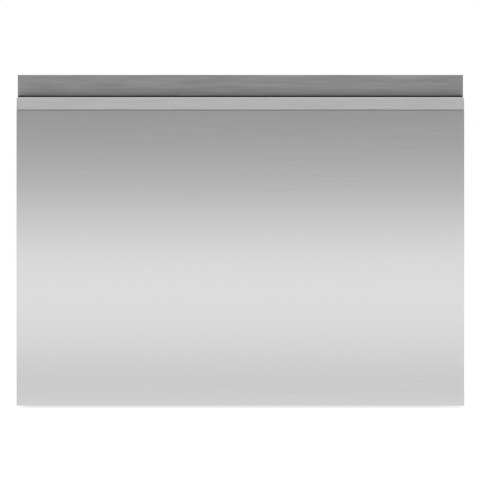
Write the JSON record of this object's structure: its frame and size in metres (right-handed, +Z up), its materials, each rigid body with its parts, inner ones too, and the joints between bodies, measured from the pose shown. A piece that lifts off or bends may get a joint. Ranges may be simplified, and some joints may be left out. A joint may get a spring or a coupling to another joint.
{
  "type": "dishwasher drawer",
  "caption": "Single built-in dishwasher drawer: brushed steel front with a full-width finger pocket, wash tub on runners, motor-driven lid, racks and folding hose link.",
  "frame": {"origin": "on the floor, under the middle of the closed machine's box", "axes": "+Z up, the door faces -Y, +X to the right of someone who faces the door"},
  "size_m": [0.599, 0.573, 0.447],
  "materials": {
    "front_steel": "satin",
    "galvanised": "satin",
    "runner_steel": "satin",
    "bright_steel": "polished",
    "dark_plastic": "matte",
    "foot_plastic": "matte",
    "grey_plastic": "satin",
    "tub_plastic": "satin",
    "white_plastic": "satin",
    "blue_plastic": "gloss",
    "rack_coating": "satin",
    "felt": "matte",
    "board": "gloss",
    "lens": "gloss",
    "button_plastic": "satin",
    "gasket_rubber": "matte",
    "line_rubber": "matte"
  },
  "bodies": {
    "cabinet": {"base_tray": "galvanised", "side_panel_left": "galvanised", "side_panel_right": "galvanised", "back_panel": "galvanised", "top_panel": "galvanised", "front_rail": "galvanised", "runners_outer": "runner_steel", "lid_actuators": "dark_plastic", "inlet_valve": "white_plastic", "drain_outlet": "grey_plastic", "power_module": "dark_plastic", "link_bracket": "galvanised", "cabinet_lines": "line_rubber", "cabinet_screws": "bright_steel"},
    "drawer": {"door_skin": "front_steel", "handle_rail": "front_steel", "handle_liner": "dark_plastic", "handle_strip": "front_steel", "door_back": "grey_plastic", "door_pad": "felt", "door_brackets": "galvanised", "door_screws": "bright_steel", "control_panel": "grey_plastic", "control_board": "board", "display_lens": "lens", "tub": "tub_plastic", "runners_inner": "runner_steel", "drawer_lines": "line_rubber", "filter_plate": "grey_plastic", "heater_plate": "bright_steel", "wash_motor": "dark_plastic", "dispenser_body": "white_plastic", "base_rack": "rack_coating", "cutlery_basket": "grey_plastic"},
    "runner_middles": {"runners_middle": "runner_steel", "runner_balls": "bright_steel"},
    "lid": {"lid_plate": "white_plastic", "lid_gasket": "gasket_rubber", "lid_racks": "white_plastic"},
    "pinion_left": {"lid_pinion_left": "white_plastic"},
    "pinion_right": {"lid_pinion_right": "white_plastic"},
    "link_back": {"link_arm_back": "white_plastic", "link_hoses_back": "line_rubber"},
    "link_front": {"link_arm_front": "white_plastic", "link_hoses_front": "line_rubber"},
    "spray_arm": {"spray_arm": "grey_plastic"},
    "pump_rotor": {"pump_rotor": "white_plastic"},
    "drain_filter": {"drain_filter": "blue_plastic"},
    "cup_rack_left": {"cup_rack_left": "rack_coating"},
    "cup_rack_right": {"cup_rack_right": "rack_coating"},
    "tine_row": {"tine_row_folding": "rack_coating"},
    "dispenser_lid": {"dispenser_lid": "grey_plastic"},
    "rinse_cap": {"rinse_cap": "blue_plastic"},
    "button_power": {"button_power": "button_plastic"},
    "button_program": {"button_program": "button_plastic"},
    "button_lock": {"button_lock": "button_plastic"},
    "foot_front_left": {"foot_front_left": "foot_plastic"},
    "foot_front_right": {"foot_front_right": "foot_plastic"},
    "foot_back_left": {"foot_back_left": "foot_plastic"},
    "foot_back_right": {"foot_back_right": "foot_plastic"}
  },
  "joints": [
    {"name": "drawer_slide", "type": "slide", "parent": "cabinet", "child": "drawer", "axis": [0, -1, 0], "range_m": [0, 0.5]},
    {"name": "runner_slide", "type": "slide", "parent": "cabinet", "child": "runner_middles", "axis": [0, -1, 0], "range_m": [0, 0.25]},
    {"name": "link_back_pivot", "type": "hinge", "parent": "cabinet", "child": "link_back", "pos_m": [-0.2, 0.2495, 0.161], "axis": [0, 0, -1], "range_deg": [0, 38]},
    {"name": "link_elbow", "type": "hinge", "parent": "link_back", "child": "link_front", "pos_m": [0.2, 0.2495, 0.193], "axis": [0, 0, 1], "range_deg": [0, 76]},
    {"name": "lid_slide", "type": "slide", "parent": "cabinet", "child": "lid", "axis": [0, 0, 1], "range_m": [-0.006, 0]},
    {"name": "pinion_left_turn", "type": "hinge", "parent": "cabinet", "child": "pinion_left", "pos_m": [-0.2825, 0.0046, 0.384], "axis": [-1, 0, 0], "range_deg": [-44, 0]},
    {"name": "pinion_right_turn", "type": "hinge", "parent": "cabinet", "child": "pinion_right", "pos_m": [0.2825, 0.0046, 0.384], "axis": [-1, 0, 0], "range_deg": [-44, 0]},
    {"name": "spray_arm_spin", "type": "hinge", "parent": "drawer", "child": "spray_arm", "pos_m": [0, 0.0046, 0.11], "axis": [0, 0, 1], "continuous": true},
    {"name": "pump_spin", "type": "hinge", "parent": "drawer", "child": "pump_rotor", "pos_m": [0, 0.0046, 0.072], "axis": [0, 0, 1], "continuous": true},
    {"name": "filter_turn", "type": "hinge", "parent": "drawer", "child": "drain_filter", "pos_m": [0.062, -0.0574, 0.08], "axis": [0, 0, 1], "range_deg": [0, 45]},
    {"name": "cup_rack_left_fold", "type": "hinge", "parent": "drawer", "child": "cup_rack_left", "pos_m": [-0.2555, 0.0046, 0.266], "axis": [0, -1, 0], "range_deg": [0, 80]},
    {"name": "cup_rack_right_fold", "type": "hinge", "parent": "drawer", "child": "cup_rack_right", "pos_m": [0.2555, 0.0046, 0.266], "axis": [0, 1, 0], "range_deg": [0, 80]},
    {"name": "tine_row_fold", "type": "hinge", "parent": "drawer", "child": "tine_row", "pos_m": [0, 0.0592, 0.1383], "axis": [-1, 0, 0], "range_deg": [0, 88]},
    {"name": "dispenser_lid_hinge", "type": "hinge", "parent": "drawer", "child": "dispenser_lid", "pos_m": [-0.025, -0.2078, 0.288], "axis": [-1, 0, 0], "range_deg": [0, 95]},
    {"name": "rinse_cap_turn", "type": "hinge", "parent": "drawer", "child": "rinse_cap", "pos_m": [0.057, -0.2158, 0.322], "axis": [0, 1, 0], "range_deg": [0, 90]},
    {"name": "button_power_press", "type": "slide", "parent": "drawer", "child": "button_power", "axis": [0, 0, -1], "range_m": [0, 0.0012], "stiffness_N_per_m": 600, "springref_m": -0.0006},
    {"name": "button_program_press", "type": "slide", "parent": "drawer", "child": "button_program", "axis": [0, 0, -1], "range_m": [0, 0.0012], "stiffness_N_per_m": 600, "springref_m": -0.0006},
    {"name": "button_lock_press", "type": "slide", "parent": "drawer", "child": "button_lock", "axis": [0, 0, -1], "range_m": [0, 0.0012], "stiffness_N_per_m": 600, "springref_m": -0.0006},
    {"name": "foot_front_left_screw", "type": "slide", "parent": "cabinet", "child": "foot_front_left", "axis": [0, 0, 1], "range_m": [-0.008, 0]},
    {"name": "foot_front_right_screw", "type": "slide", "parent": "cabinet", "child": "foot_front_right", "axis": [0, 0, 1], "range_m": [-0.008, 0]},
    {"name": "foot_back_left_screw", "type": "slide", "parent": "cabinet", "child": "foot_back_left", "axis": [0, 0, 1], "range_m": [-0.008, 0]},
    {"name": "foot_back_right_screw", "type": "slide", "parent": "cabinet", "child": "foot_back_right", "axis": [0, 0, 1], "range_m": [-0.008, 0]}
  ],
  "couplings": [
    {"joint": "runner_slide", "follows": "drawer_slide", "ratio": 0.5},
    {"joint": "link_back_pivot", "follows": "drawer_slide", "rad_per_m": 1.32},
    {"joint": "link_elbow", "follows": "drawer_slide", "rad_per_m": 2.64},
    {"joint": "pinion_left_turn", "follows": "lid_slide", "rad_per_m": 125},
    {"joint": "pinion_right_turn", "follows": "lid_slide", "rad_per_m": 125}
  ]
}
